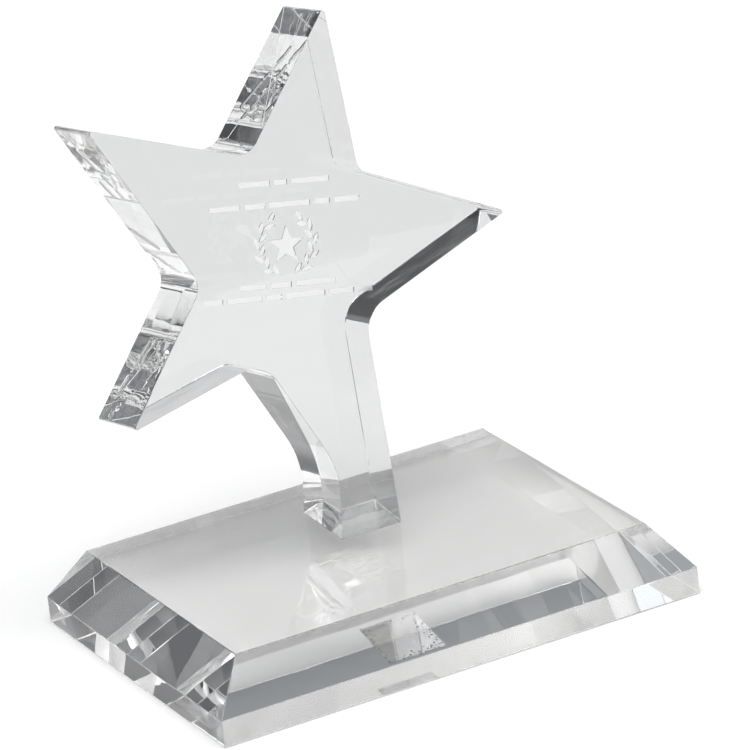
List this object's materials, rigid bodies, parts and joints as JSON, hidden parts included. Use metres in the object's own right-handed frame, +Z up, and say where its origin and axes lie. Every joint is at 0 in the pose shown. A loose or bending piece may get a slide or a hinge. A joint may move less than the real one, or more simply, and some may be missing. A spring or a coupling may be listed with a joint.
{
  "type": "star award",
  "caption": "Free-standing award: a thick clear star that leans back on a narrow leg, bonded to a bevelled clear base, with a shallow engraved block.",
  "frame": {"origin": "middle of the base's underside, on the surface that the award stands on", "axes": "+Z up, +X to the right of a person who reads the engraved face, +Y to the back, the way the star leans"},
  "size_m": [0.152, 0.113, 0.1686],
  "materials": {
    "base_crystal": "polished clear",
    "clear_adhesive": "clear, set adhesive",
    "star_crystal": "polished clear, engraved face"
  },
  "bodies": {
    "root": {"base_block": "base_crystal", "bond_film": "clear_adhesive", "star_plate": "star_crystal"}
  },
  "joints": []
}
